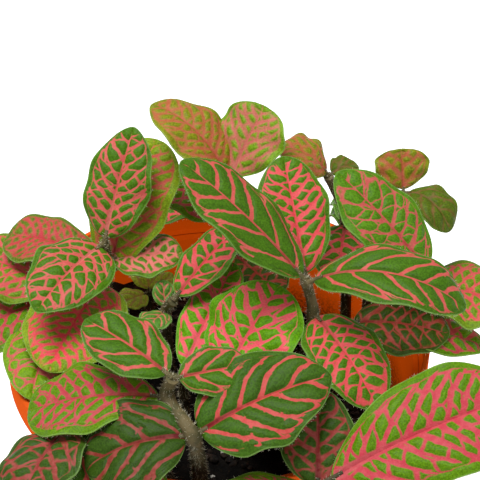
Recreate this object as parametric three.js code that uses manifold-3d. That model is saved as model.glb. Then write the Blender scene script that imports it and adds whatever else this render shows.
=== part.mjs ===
// A nerve plant (Fittonia) in a round plastic nursery pot. Units are millimetres, +Z is up, and the
// origin is the centre of the pot's underside. +X is to the right, and -Y is the side that is looked at.
//
// The pot is one tapered moulding with a rim band and drainage holes. Potting soil fills it to a little
// below the rim, and every leafy shoot is a rooted cutting of its own that stands in a hole in the soil.
// A shoot is one solid: its stem, its short leaf stalks and its blades, which grow from nodes.

import * as THREE from 'three';
import { mergeVertices } from 'three/addons/utils/BufferGeometryUtils.js';
import Module from 'manifold-3d';

const wasm = await Module();
wasm.setup();

// Pot
const POT_HEIGHT = 90;
const RIM_RADIUS = 53;
const RIM_DRAFT = 0.3;
const RIM_ROUND = 0.5;
const BASE_RADIUS = 38;
const BASE_ROUND = 1.5;
const WALL = 1.4;
const FLOOR = 1.8;
const BAND_HEIGHT = 9;
const BAND_STEP = 0.9;
const DRAIN_RADIUS = 4;
const DRAIN_COUNT = 6;
const DRAIN_CIRCLE = 26;
const DRAIN_SIDES = 12;
const POT_SIDES = 48;

// Soil
const SOIL_TOP = 74;
const SOIL_RADIUS = 48;
const SOIL_GAP = 0.3;
const SOIL_FALL = 13;
const SOIL_FALL_REACH = 58;
const SOIL_LUMP = 0.6;
const SOIL_WAVES = [0.31, 0.27, 0.53];
const SOIL_SIDES = 28;
const SOIL_RINGS = 3;

// Stems and leaf stalks
const STEM_SIDES = 6;
const STEM_FOOT_RADIUS = 1.7;
const STEM_TIP_RADIUS = 1.1;
const ROOT_DEPTH = 12;
const HOLE_CLEARANCE = 0.45;
const HOLE_MARGIN = 5;
const HOLE_SIDES = 8;
const STALK_SIDES = 5;
const STALK_RADIUS = 0.8;
const STALK_INSIDE = 0.3;
const STALK_TAPER = 0.6;
const STALK_LENGTH = 1;
const STALK_PER_LENGTH = 0.03;
const FULL_LEAF = 20;

// Blades
const BLADE_THICKNESS = 0.7;
const ROW_STEP = 4.6;
const MOST_ROWS = 6;
const FEWEST_ROWS = 3;
const BLADE_COLUMNS = 4;
const YOUNG_COLUMNS = 2;
const YOUNG_WIDTH = 10;
const BLADE_POINT = 0.3;
const RIB_DEPTH = 0.6;
const OUTLINE = 1.2;
const FOLD = 0.3;
const ARCH = 0.34;
const RIPPLE = 0.08;
const RIPPLES = 2.5;
const RIPPLE_TURN = 2.4;
const RIPPLE_SIDES = 1.5;

// Every shoot: where it is rooted, the places its stem bends through on the way to its nodes if it isn't
// straight, and its nodes from the lowest to the tip. A stout shoot's stem is that much thicker. A leaf is
// [turn, rise, length, width, bend, roll, widest]: the direction that it points in, counted from +X
// towards +Y, its slope at the base, its blade's length and width, how far it bends down on the way to
// its tip, how far it is rolled over, and where along the blade it is widest. Angles are in degrees.
const SHOOTS = [
  {
    name: 'shoot_left_back',
    root: [-26, 6],
    nodes: [
      { at: [-28, 7, 101], leaves: [[245.5, 5, 29.5, 26, 30, 0, 0.48], [63, 57, 36, 22, 30, 0, 0.6]] },
      {
        at: [-27.5, 9, 106],
        leaves: [
          [155.5, 8, 26.5, 16.5, 22, 10, 0.7],
          [358, 18, 17.5, 14.5, 22, -10, 0.5],
        ],
      },
      { at: [-28, 8, 112], leaves: [[68, 55, 28, 17, 14, 0, 0.46], [235, 10, 25.5, 20, 35, 8, 0.42]] },
    ],
  },
  {
    name: 'shoot_left',
    root: [-34, 4],
    nodes: [
      {
        at: [-39.5, 8.5, 93.5],
        leaves: [
          [205, 10, 30, 20, 50, 0, 0.5],
          [261, 8, 32.5, 19.5, 26, 0, 0.5],
        ],
      },
      { at: [-39, 6, 97], leaves: [[152, 22, 27, 21, 35, 10, 0.5], [80, 6, 22.5, 15.5, 32, 0, 0.5]] },
    ],
  },
  {
    name: 'shoot_centre',
    root: [19, -11],
    nodes: [
      { at: [19.6, -11.3, 81], leaves: [[281, 14, 23.5, 18, 22, 0, 0.5]] },
      { at: [23, -13, 108], leaves: [[301, 0, 28.5, 19, 35, 0, 0.45]] },
      { at: [21.3, -9.4, 115], leaves: [[102, 42, 29.5, 17.5, 12, 0, 0.52]] },
      {
        at: [21.4, -13.6, 118],
        leaves: [
          [152, 45, 39.5, 19.5, 20, 0, 0.52],
          [347, 36, 39, 18.5, 78, -5, 0.52],
        ],
      },
    ],
  },
  {
    name: 'shoot_front',
    root: [-4, -38],
    stout: 1.25,
    nodes: [
      {
        at: [-5.2, -49, 102],
        leaves: [
          [185, 6.5, 25.5, 24.5, 53, 15, 0.48],
          [18, 30, 33, 25, 30, -18, 0.43],
        ],
      },
      { at: [-11.5, -37.5, 103.5], leaves: [[174, 2, 32.5, 22, 32, 5, 0.62]] },
      {
        at: [-10, -38.5, 110.5],
        leaves: [
          [142, 17, 25, 16, 20, 10, 0.5],
          [11, 4, 16.5, 12.5, 0, -22, 0.5],
        ],
      },
    ],
  },
  {
    name: 'shoot_front_centre',
    root: [4, -24],
    nodes: [
      { at: [2.6, -25, 86.5], leaves: [[339.5, 22, 21.5, 15.5, 45, 0, 0.5]] },
      {
        at: [2.2, -25.3, 90],
        leaves: [
          [92.5, 0, 26, 18, 41, 0, 0.5],
          [331, 28, 27, 21, 27.5, 0, 0.5],
        ],
      },
      { at: [1.2, -26, 97.5], leaves: [[53.5, 39, 25.5, 25, 15, 0, 0.55]] },
    ],
  },
  {
    name: 'shoot_mid_left',
    root: [-8, -16],
    nodes: [
      { at: [-8.5, -20.5, 95], leaves: [[64.5, 28, 30, 13.5, 10, 0, 0.5]] },
    ],
  },
  {
    name: 'shoot_mid',
    root: [-12, -6],
    nodes: [
      {
        at: [-12.7, -3.2, 100],
        leaves: [
          [100, 45, 6.5, 5.5, 10, 0, 0.5],
          [243, 20, 9, 8, 20, 0, 0.5],
        ],
      },
      { at: [-10.8, -5.2, 105], leaves: [[46.5, 30, 23.5, 12.5, 14, 0, 0.5]] },
    ],
  },
  {
    name: 'shoot_front_right',
    root: [19, -34],
    bends: [[20, -41, 86], [21, -47, 93]],
    nodes: [
      {
        at: [23.3, -57.5, 93],
        leaves: [
          [89.5, 42, 22.5, 17.5, 12, 0, 0.45],
          [190, 3, 29, 17, 18, 0, 0.5],
        ],
      },
      {
        at: [24.5, -57, 95],
        leaves: [
          [14, 30, 46, 27.5, 20, -22, 0.62],
          [300, 2, 30, 22, 45, 0, 0.5],
        ],
      },
    ],
  },
  {
    name: 'shoot_right',
    root: [40.2, 12.8],
    nodes: [
      {
        at: [48.2, 6.4, 99.3],
        leaves: [
          [352, 6.5, 26.5, 22, 30, -5, 0.5],
          [112, 6, 17, 14, 33.5, 0, 0.5],
        ],
      },
      { at: [51.6, -2.9, 111], leaves: [[142, 42, 32, 18.5, 20, 12, 0.48]] },
    ],
  },
  {
    name: 'shoot_right_mid',
    root: [29, 2],
    nodes: [
      { at: [32, -2, 95], leaves: [[350, 14, 24, 19, 30, -10, 0.5], [355, 6, 34, 16, 32, 0, 0.5]] },
    ],
  },
  {
    name: 'shoot_back',
    root: [2, 16],
    nodes: [
      { at: [2.5, 20.1, 90.5], leaves: [[272, 15, 25, 19, 27, 0, 0.5]] },
      { at: [2.8, 22.2, 98], leaves: [[306, 6, 20, 15, 10, 0, 0.5]] },
      { at: [2.9, 23.4, 103], leaves: [[52, 4, 25.5, 19, 29, 0, 0.5]] },
      { at: [3, 24, 106], leaves: [[138, 26, 20, 19, 20, 0, 0.5]] },
      {
        at: [2.8, 16.3, 125],
        leaves: [
          [143.5, 64, 27.5, 17, 74, 0, 0.45],
          [48, 55, 19, 20, 10, 0, 0.6],
          [87, 1, 27, 20.5, 47, 0, 0.5],
        ],
      },
    ],
  },
  {
    name: 'shoot_back_right',
    root: [33.5, 25],
    nodes: [
      { at: [32.5, 26.5, 104], leaves: [[262, 5, 19, 15, 35, 0, 0.5]] },
      { at: [27.5, 22.5, 122], leaves: [[166, 60, 14, 16, 70, -4, 0.5], [25, 30, 7, 9, 50, 0, 0.5]] },
    ],
  },
  {
    name: 'shoot_young',
    root: [-18, 13],
    nodes: [
      {
        at: [-17.7, 14.5, 90.5],
        leaves: [
          [219, 15, 8, 8.5, 20, 0, 0.5],
          [95, 30, 7, 8.5, 10, 0, 0.5],
          [30, 30, 6.5, 6, 10, 0, 0.5],
        ],
      },
    ],
  },
  {
    name: 'shoot_front_left',
    root: [-27, -28],
    nodes: [
      { at: [-30.8, -32.8, 85], leaves: [[61.5, 2.5, 24.5, 17.5, 21, 0, 0.5]] },
      {
        at: [-34.8, -37.8, 94],
        leaves: [
          [246.5, 19, 26.5, 20, 56, -14, 0.45],
          [290, 4, 21, 16, 45, 0, 0.5],
        ],
      },
    ],
  },
  {
    name: 'shoot_front_low',
    root: [-11, -38],
    nodes: [
      { at: [-15, -48, 92.5], leaves: [[260, 6, 27, 16, 50, 0, 0.5]] },
    ],
  },
  {
    name: 'shoot_rear_left',
    root: [-15, 30],
    nodes: [
      { at: [-18.3, 35, 91.8], leaves: [[199.5, 9.5, 18.5, 14, 39, 0, 0.5]] },
      { at: [-19, 36, 95], leaves: [[112, 8, 26, 19, 55, 0, 0.5], [54, 12, 22, 16, 50, 0, 0.5]] },
    ],
  },
  {
    name: 'shoot_rear',
    root: [10, 32],
    nodes: [
      {
        at: [11, 38, 95],
        leaves: [
          [95, 2, 25, 20, 58, 0, 0.5],
          [150, 14, 16, 13, 25, 0, 0.5],
          [336.5, 19, 18, 14, 42.5, 0, 0.5],
        ],
      },
    ],
  },
  {
    name: 'shoot_rear_right',
    root: [38, 19],
    nodes: [
      { at: [39.7, 26.4, 91.5], leaves: [[301, 18, 17, 13, 36, 0, 0.5]] },
      { at: [40, 28, 96], leaves: [[95, 8, 25, 19, 55, 0, 0.5], [55, 4, 20, 16, 50, 0, 0.5]] },
      { at: [41, 27.4, 98.8], leaves: [[98.5, 8, 25.5, 19, 46, 0, 0.5]] },
      {
        at: [46.7, 24.2, 115],
        leaves: [
          [313.5, 40, 17.5, 12, 110, 0, 0.5],
          [96, 54, 10, 14, 5, 0, 0.62],
        ],
      },
    ],
  },
];

const radians = THREE.MathUtils.degToRad;

// Turns a geometry into a solid that can be joined and cut
function solid(geometry) {
  const bare = geometry.index ? geometry.toNonIndexed() : geometry.clone();
  bare.deleteAttribute('normal');
  bare.deleteAttribute('uv');
  const merged = mergeVertices(bare, 1e-4);
  const vertProperties = new Float32Array(merged.getAttribute('position').array);
  const triVerts = new Uint32Array(merged.index.array);
  return new wasm.Manifold(new wasm.Mesh({ numProp: 3, vertProperties, triVerts }));
}

// Turns a solid back into a named mesh with its own material
function part(name, body, color, roughness) {
  const { vertProperties, triVerts } = body.getMesh();
  const geometry = new THREE.BufferGeometry();
  geometry.setAttribute('position', new THREE.BufferAttribute(new Float32Array(vertProperties), 3));
  geometry.setIndex(new THREE.BufferAttribute(new Uint32Array(triVerts), 1));
  geometry.computeVertexNormals();
  const mesh = new THREE.Mesh(geometry, new THREE.MeshStandardMaterial({ color, roughness, metalness: 0 }));
  mesh.name = name;
  return mesh;
}

function geometryFrom(points, triangles) {
  const geometry = new THREE.BufferGeometry().setFromPoints(points);
  geometry.setIndex(triangles);
  return geometry;
}

// A round tube through the centres, with a radius for each of them and flat ends
function tube(centres, radii, sides) {
  const points = [];
  const triangles = [];
  const last = centres.length - 1;
  const across = new THREE.Vector3(0, 0, 1).cross(centres[last].clone().sub(centres[0]));
  if (across.length() < 0.01) across.set(1, 0, 0);
  for (let i = 0; i <= last; i++) {
    const along = centres[Math.min(i + 1, last)].clone().sub(centres[Math.max(i - 1, 0)]).normalize();
    const right = across.clone().addScaledVector(along, -across.dot(along)).normalize();
    const out = along.clone().cross(right);
    for (let j = 0; j < sides; j++) {
      const angle = (2 * Math.PI * j) / sides;
      const point = centres[i].clone().addScaledVector(right, radii[i] * Math.cos(angle));
      points.push(point.addScaledVector(out, radii[i] * Math.sin(angle)));
    }
  }
  for (let j = 0; j < sides; j++) {
    const next = (j + 1) % sides;
    for (let i = 0; i < last; i++) {
      const [a, b] = [i * sides + j, i * sides + next];
      triangles.push(a, b, b + sides, a, b + sides, a + sides);
    }
    if (j > 0 && next > 0) {
      triangles.push(0, next, j);
      triangles.push(last * sides, last * sides + j, last * sides + next);
    }
  }
  return solid(geometryFrom(points, triangles));
}

// A thin closed sheet between two grids of points, split into triangles alike on both faces
function closedSheet(upper, lower) {
  const rows = upper.length;
  const columns = upper[0].length;
  const points = [...upper.flat(), ...lower.flat()];
  const triangles = [];
  const over = (row, column) => row * columns + column;
  const under = (row, column) => rows * columns + over(row, column);
  for (let row = 0; row < rows - 1; row++) {
    for (let column = 0; column < columns - 1; column++) {
      const corners = [[row, column], [row, column + 1], [row + 1, column + 1], [row + 1, column]];
      const [a, b, c, d] = corners.map(([r, k]) => over(r, k));
      const [e, f, g, h] = corners.map(([r, k]) => under(r, k));
      triangles.push(a, b, c, a, c, d, e, g, f, e, h, g);
    }
  }
  const rim = [];
  for (let column = 0; column < columns - 1; column++) rim.push([0, column]);
  for (let row = 0; row < rows - 1; row++) rim.push([row, columns - 1]);
  for (let column = columns - 1; column > 0; column--) rim.push([rows - 1, column]);
  for (let row = rows - 1; row > 0; row--) rim.push([row, 0]);
  rim.forEach(([row, column], i) => {
    const [nextRow, nextColumn] = rim[(i + 1) % rim.length];
    const [a, b] = [over(row, column), over(nextRow, nextColumn)];
    const [c, d] = [under(row, column), under(nextRow, nextColumn)];
    triangles.push(a, c, d, a, d, b);
  });
  return geometryFrom(points, triangles);
}

// The direction forward, to the side and out of the upper face at a part s of the way along a leaf
function leafAxes([turn, rise, , , bend, roll], s) {
  const heading = radians(turn);
  const slope = radians(rise - bend * s);
  const lean = radians(roll);
  const forward = new THREE.Vector3(
    Math.cos(heading) * Math.cos(slope),
    Math.sin(heading) * Math.cos(slope),
    Math.sin(slope),
  );
  const level = new THREE.Vector3(Math.sin(heading), -Math.cos(heading), 0);
  const raised = level.clone().cross(forward);
  const side = level.clone().multiplyScalar(Math.cos(lean)).addScaledVector(raised, Math.sin(lean));
  const up = raised.multiplyScalar(Math.cos(lean)).addScaledVector(level, -Math.sin(lean));
  return { forward, side, up };
}

// The midrib of a blade, from its base to its tip
function midrib(node, leaf) {
  const length = leaf[2];
  const start = STALK_LENGTH + STALK_PER_LENGTH * length;
  const point = node.clone().addScaledVector(leafAxes(leaf, 0).forward, start);
  const points = [point.clone()];
  const rows = THREE.MathUtils.clamp(Math.round(length / ROW_STEP), FEWEST_ROWS, MOST_ROWS);
  for (let row = 0; row < rows; row++) {
    point.addScaledVector(leafAxes(leaf, (row + 0.5) / rows).forward, length / rows);
    points.push(point.clone());
  }
  return points;
}

// How wide half of a blade is at a part s of the way along it
function halfWidth([, , , width, , , widest], s) {
  const a = OUTLINE * widest;
  const b = OUTLINE * (1 - widest);
  const most = widest ** a * (1 - widest) ** b;
  return Math.max(BLADE_POINT, (width / 2) * ((s ** a * (1 - s) ** b) / most));
}

function bladeGeometry(rib, leaf, index) {
  const upper = [];
  const lower = [];
  const columns = leaf[3] > YOUNG_WIDTH ? BLADE_COLUMNS : YOUNG_COLUMNS;
  rib.forEach((centre, row) => {
    const s = row / (rib.length - 1);
    const { side, up } = leafAxes(leaf, s);
    const half = halfWidth(leaf, s);
    const line = [];
    for (let column = 0; column <= columns; column++) {
      const v = (2 * column) / columns - 1;
      const wave = Math.sin(2 * Math.PI * RIPPLES * s + index * RIPPLE_TURN + (v > 0 ? RIPPLE_SIDES : 0));
      const lift = half * (FOLD * Math.abs(v) - ARCH * v * v + RIPPLE * v * v * wave);
      line.push(centre.clone().addScaledVector(side, half * v).addScaledVector(up, lift));
    }
    const depth = (column) => BLADE_THICKNESS / 2 + (column === columns / 2 ? RIB_DEPTH * (1 - s) : 0);
    upper.push(line.map((point) => point.clone().addScaledVector(up, BLADE_THICKNESS / 2)));
    lower.push(line.map((point, column) => point.clone().addScaledVector(up, -depth(column))));
  });
  return closedSheet(upper, lower);
}

// The leaf stalk, which ends inside the base of the blade
function stalk(node, rib, leaf) {
  const radius = STALK_RADIUS * Math.min(1, leaf[2] / FULL_LEAF);
  const end = rib[0].clone().lerp(rib[1], STALK_INSIDE);
  return tube([node, end], [radius, radius * STALK_TAPER], STALK_SIDES);
}

// The height of the soil, which is uneven and lies lower at the back right
function soilHeight(x, y) {
  const fall = SOIL_FALL * THREE.MathUtils.smoothstep(x + y, 0, SOIL_FALL_REACH);
  const [a, b, c] = SOIL_WAVES;
  const lumps = Math.sin(a * x + 1.3) * Math.cos(b * y) + 0.5 * Math.sin(c * (x - y));
  return SOIL_TOP - fall + SOIL_LUMP * lumps;
}

// A stem's centres: its foot in the soil, its place at the surface, and each of its nodes
function stemCentres(shoot) {
  const [x, y] = shoot.root;
  const surface = soilHeight(x, y);
  const below = [[x, y, surface - ROOT_DEPTH], [x, y, surface + 1]];
  const above = [...(shoot.bends ?? []), ...shoot.nodes.map(({ at }) => at)];
  return [...below, ...above].map((place) => new THREE.Vector3(...place));
}

function stemRadius(shoot, share) {
  return (shoot.stout ?? 1) * THREE.MathUtils.lerp(STEM_FOOT_RADIUS, STEM_TIP_RADIUS, share);
}

function stem(shoot) {
  const centres = stemCentres(shoot);
  const radii = centres.map((centre, i) => stemRadius(shoot, i / (centres.length - 1)));
  return tube(centres, radii, STEM_SIDES);
}

// One rooted shoot: its stem, and a stalk and a blade for each leaf
let leafCount = 0;
function shootBody(shoot) {
  let body = stem(shoot);
  for (const { at, leaves } of shoot.nodes) {
    const node = new THREE.Vector3(...at);
    for (const leaf of leaves) {
      const rib = midrib(node, leaf);
      body = body.add(stalk(node, rib, leaf)).add(solid(bladeGeometry(rib, leaf, leafCount)));
      leafCount += 1;
    }
  }
  return body;
}

// The moulded pot, with its rim band and the drainage holes in its floor
function wallRadius(z) {
  return BASE_RADIUS + ((RIM_RADIUS - BAND_STEP - BASE_RADIUS) * z) / POT_HEIGHT;
}

function potBody() {
  const band = POT_HEIGHT - BAND_HEIGHT;
  const outline = [
    [0, 0],
    [BASE_RADIUS - BASE_ROUND, 0],
    [wallRadius(BASE_ROUND), BASE_ROUND],
    [wallRadius(band), band],
    [RIM_RADIUS - RIM_DRAFT, band],
    [RIM_RADIUS, POT_HEIGHT - RIM_ROUND],
    [RIM_RADIUS - RIM_ROUND, POT_HEIGHT],
    [RIM_RADIUS - WALL, POT_HEIGHT],
    [wallRadius(band) - WALL, band - BAND_STEP],
    [wallRadius(FLOOR) - WALL, FLOOR],
    [0, FLOOR],
  ].map(([radius, z]) => new THREE.Vector2(radius, z));
  let body = solid(new THREE.LatheGeometry(outline, POT_SIDES).rotateX(Math.PI / 2));
  for (let i = 0; i < DRAIN_COUNT; i++) {
    const angle = (2 * Math.PI * i) / DRAIN_COUNT;
    const [x, y] = [DRAIN_CIRCLE * Math.cos(angle), DRAIN_CIRCLE * Math.sin(angle)];
    const ends = [new THREE.Vector3(x, y, -1), new THREE.Vector3(x, y, FLOOR + 1)];
    body = body.subtract(tube(ends, [DRAIN_RADIUS, DRAIN_RADIUS], DRAIN_SIDES));
  }
  return body;
}

// The soil fills the pot from its floor to its uneven top, with a plain hole where each stem stands
function soilBody() {
  const inner = (z) => wallRadius(z) - WALL - SOIL_GAP;
  const lowest = FLOOR + SOIL_GAP;
  const rings = [];
  const ringAt = (share, height) => {
    const ring = [];
    for (let i = 0; i < SOIL_SIDES; i++) {
      const angle = (2 * Math.PI * i) / SOIL_SIDES;
      const [x, y] = [Math.cos(angle), Math.sin(angle)];
      const z = height(x * share * SOIL_RADIUS, y * share * SOIL_RADIUS);
      ring.push(new THREE.Vector3(x * share * inner(z), y * share * inner(z), z));
    }
    return ring;
  };
  rings.push(ringAt(1, () => lowest));
  for (let i = SOIL_RINGS; i > 0; i--) rings.push(ringAt(i / SOIL_RINGS, soilHeight));
  const middles = [lowest, soilHeight(0, 0)].map((z) => new THREE.Vector3(0, 0, z));
  const points = [...rings.flat(), ...middles];
  const [bottom, top] = [points.length - 2, points.length - 1];
  const triangles = [];
  for (let j = 0; j < SOIL_SIDES; j++) {
    const next = (j + 1) % SOIL_SIDES;
    triangles.push(bottom, next, j);
    for (let i = 0; i < rings.length - 1; i++) {
      const [a, b] = [i * SOIL_SIDES + j, i * SOIL_SIDES + next];
      triangles.push(a, b, b + SOIL_SIDES, a, b + SOIL_SIDES, a + SOIL_SIDES);
    }
    const inmost = (rings.length - 1) * SOIL_SIDES;
    triangles.push(top, inmost + j, inmost + next);
  }
  let body = solid(geometryFrom(points, triangles));
  for (const shoot of SHOOTS) {
    const [foot, surface] = stemCentres(shoot);
    const radius = stemRadius(shoot, 0) + HOLE_CLEARANCE;
    foot.z -= HOLE_CLEARANCE;
    surface.z += HOLE_MARGIN;
    body = body.subtract(tube([foot, surface], [radius, radius], HOLE_SIDES));
  }
  return body;
}

const plant = new THREE.Group();
plant.add(part('pot', potBody(), '#d9602a', 0.45));
plant.add(part('soil', soilBody(), '#2b211d', 0.95));
for (const shoot of SHOOTS) plant.add(part(shoot.name, shootBody(shoot), '#4f8a35', 0.5));

export default plant;
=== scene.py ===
# A nerve plant (Fittonia) in an orange plastic nursery pot. Units are metres and +Z is up. The origin
# is the centre of the pot's underside, and the camera looks along +Y from above.
#
# The pot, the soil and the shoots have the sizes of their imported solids. The pot is spun from its
# profile, the soil is a lumpy plug of peat with loose crumbs and white grains on it, and each shoot is
# its stem, leaf stalks and veined blades, with short hairs and a finer fringe along the blades.

import math
import random

import bpy
import numpy as np
from mathutils import Matrix, Vector, noise


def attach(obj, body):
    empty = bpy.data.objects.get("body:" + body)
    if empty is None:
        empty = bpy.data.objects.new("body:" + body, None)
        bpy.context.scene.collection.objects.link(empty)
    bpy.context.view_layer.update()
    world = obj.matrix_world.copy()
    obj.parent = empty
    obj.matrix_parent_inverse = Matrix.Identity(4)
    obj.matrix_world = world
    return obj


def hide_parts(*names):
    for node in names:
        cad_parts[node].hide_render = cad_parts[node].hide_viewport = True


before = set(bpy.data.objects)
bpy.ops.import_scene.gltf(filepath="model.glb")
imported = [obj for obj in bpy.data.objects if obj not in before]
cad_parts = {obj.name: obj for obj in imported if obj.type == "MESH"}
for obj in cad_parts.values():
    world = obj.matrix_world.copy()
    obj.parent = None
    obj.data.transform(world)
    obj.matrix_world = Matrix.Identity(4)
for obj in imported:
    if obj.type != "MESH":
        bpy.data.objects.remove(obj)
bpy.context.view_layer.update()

MM = 0.001

# Camera
CAMERA_PLACE = (5.5 * MM, -395.5 * MM, 446 * MM)
CAMERA_TILT = 50.5
CAMERA_LENS = 159.4
CAMERA_SENSOR = 36

# Floor and light: a light is its name, place, size and power
GROUND_SIZE = 20
GROUND_GLOW = 0.5
WORLD_LIGHT = 0.36
LIGHT_TARGET = (0, 0, 0.09)
LIGHTS = (
    ("key_light", (-0.25, 0.05, 1.0), 0.6, 9.6),
    ("fill_light", (0.6, -0.6, 0.6), 0.7, 1.4),
)

# Pot, in millimetres
POT_HEIGHT = 90
RIM_RADIUS = 53
RIM_DRAFT = 0.3
BASE_RADIUS = 38
WALL = 1.4
FLOOR = 1.8
BAND = 81
BAND_STEP = 0.9
BAND_ROUND = 0.4
BAND_SLOPE = 0.8
LIP_ROUND = 0.6
INNER_ROUND = 0.3
FOOT_ROUND = 1.5
FOOT_INSET = 1.3
CORNER_RISE = 1.4
CORNER_REACH = 1.2
CORNER_BULGE = 0.1
WALL_SLOPE = (RIM_RADIUS - BAND_STEP - BASE_RADIUS) / POT_HEIGHT
DRAIN_RADIUS = 4
DRAIN_SIDES = 32
DRAIN_DEPTH = 8
DRAIN_COUNT = 6
DRAIN_CIRCLE = 26
POT_STEPS = 144

# Looks of the pot's wall. A span is a ramp's two ends, then what it gives there.
DUST_SPAN = (72.0, 62.0)
DUST_SHARE = 0.6
# The glow is painted light on the inner wall, stronger higher up and at the back.
GLOW_SPAN = (60.0, 72.0, 0.3, 1.0)
GLOW_DEPTH_SPAN = (-20.0, 10.0)
WALL_GLOW = 0.39
SHEEN_SPAN = (76.0, 56.0)
SHEEN = 0.24

# Soil, in millimetres. A lump is its waves for each millimetre, its shift and height.
SOIL_TOP = 74
SOIL_RADIUS = 48
SOIL_GAP = 0.3
SOIL_FALL = 13
SOIL_FALL_REACH = 58
SOIL_LUMP = 0.6
SOIL_WAVES = (0.31, 0.27, 0.53)
SOIL_SIDES = 120
SOIL_RINGS = 34
LUMPS = ((0.22, (0, 0, 0), 1.1), (0.6, (7, 3, 1), 0.7), (1.5, (2, 9, 4), 0.4))
CRUMBS = {"count": 420, "sizes": (0.5, 1.7), "flatness": 0.7, "seed": 11}
GRIT = {"count": 26, "sizes": (0.5, 1.1), "flatness": 0.8, "seed": 5}
SIZE_SPREAD = (0.6, 1.2)
STRETCHES = ((0.8, 1.5), (0.7, 1.1), (0.7, 1.2))
ROUGHNESS_SPREAD = (0.78, 1.2)
GRAIN_TILT = 0.5
GRAIN_SINK = 0.25
STEM_CLEARANCE = 2.4
WALL_CLEARANCE = 2.2

# Stems, leaf stalks and hairs, in millimetres
STEM_FOOT_RADIUS = 1.7
STEM_TIP_RADIUS = 1.1
STEM_STEP = 1.6
STEM_RISE = 1
STEM_SHADE_SPAN = (112.0, 90.0)
NODE_SWELL = 1.25
NODE_SPAN = 1.6
ROOT_DEPTH = 12
BURIED_STEPS = 6
STALK_RADIUS = 0.8
STALK_TAPER = 0.6
STALK_LENGTH = 1
STALK_PER_LENGTH = 0.03
STALK_STEP = 0.7
STALK_END = 0.06
FULL_LEAF = 20
HAIRS_PER_MM = 11
HAIR_LENGTH = (0.5, 1.15)
HAIR_RADIUS = 0.05
HAIR_SPREAD = (0.6, 1.4)
HAIR_LEAN = (-0.2, 0.6)
HAIR_FOOT = 0.9
HAIR_SIDES = 3
HAIR_SEED = 100
FRINGE_PER_MM = 3
FRINGE_LENGTH = (0.25, 0.6)
FRINGE_RADIUS = 0.035
FRINGE_STEP = 4

# Blades, in millimetres
BLADE_THICKNESS = 0.42
CELL = 0.5
LEAST_ROWS = 12
LEAST_COLUMNS = 5
END_EASE = 0.45
BLADE_POINT = 0.16
OUTLINE = 1.2
FOLD = 0.3
ARCH = 0.34
RIPPLE = 0.08
RIPPLES = 2.5
RIPPLE_TURN = 2.4
RIPPLE_SIDES = 1.5
MARGIN_WAVER = (0.02, 0.035)
MARGIN_WAVES = 2.7
MARGIN_SIDES = 0.31
RIB_STEPS = 160
GROOVE = 0.3
GROOVE_WIDTH = 0.7
GROOVE_TAPER = 0.8
QUILT = 0.24
QUILT_FADE = 6
QUILT_START = 1.2

# Side veins of a blade: how far forward they run and curl, and how evenly they stand
ARCHED = (0.85, 0.7)
STRAIGHT = (0.78, 0.3)
LEAST_PAIRS = 3
BASE_ROWS = 0.8
UNEVEN = 0.035
UNEVEN_WAVES = 1.3
SIDE_SHIFT = 0.45
ROW_SEEDS = 40

# Pattern of the veins, in millimetres or in shares of a blade's half width. A waver is its waves for
# each millimetre and its detail.
BROAD_WAVER = (0.2, 2.0)
FINE_WAVER = (0.5, 1.0)
FINE_SHARE = 0.45
ROW_WAVER = 1.5
OUT_WAVER = 0.16
RIB_TAPER = 0.82
SIDE_REACH = 0.7
SIDE_REACH_SPREAD = 0.15
SIDE_WIDTH = 0.62
SIDE_TAPER = 0.34
SIDE_LEAST = 0.78
SIDE_SPREAD = 0.44
LOOP_CREST = 0.87
LOOP_DIP = 0.24
LOOP_LEAN = 0.8
LOOP_WIDTH = 0.3
LOOP_START = 0.3
LOOP_SEED = 0.37
FAR_OFF = 9.0
NET_CHANCES = (0.2, 0.66)
LONG_REACH = 1.5
NET_SHIFT = 3.0
NET_END = 0.83
RUNG_STRETCH = 1.05
CELL_REACH = 0.74
CELL_ROUND = 0.3
CLOSING_SPAN = (0.4, 0.6, 0.45, 0.0)
STUB_SPAN = (0.4, 0.62, 0.3)
CLOSING_ROUND = 0.4
SIDE_ROUND = 0.4
LOOP_ROUND = 0.3
NET_ROUND = 0.5
TIP_SPAN = (0.88, 1.0, 0.0, 0.5)
BARE_MARGIN_SPAN = (0.35, 0.9)
FOOT_SPAN = (0.35, -0.15)
FOOT_LENGTH_SPAN = (0.02, 0.55, 1.0, 0.0)
DOME_SPAN = (-0.1, 0.95)
EDGE_SPAN = (0.12, 0.42, 1.0, 0.0)
TONE_SPAN = (0.35, 0.65)

# Grain that every material shares
GRAIN_SPAN = (0.3, 0.7)
PATCH_SPAN = (0.36, 0.64)
SPECK_SPAN = (0.62, 0.72)
DUST_GRAIN_SPAN = (0.42, 0.6)

# Looks that every blade shares: shares of one colour in another, and the relief in millimetres
GREEN_SPREAD = (0.5, 1.5)
PEBBLE_LIGHT_AND_SHADE = 0.5
VEIN_BLOOM = 0.12
VEIN_PIT_SHADE = 0.16
EDGE_HIGHLIGHT = 0.32
BACK_PALENESS = 0.55
LEAF_GRAIN = 0.45
LEAF_RELIEF = 0.24

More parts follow.
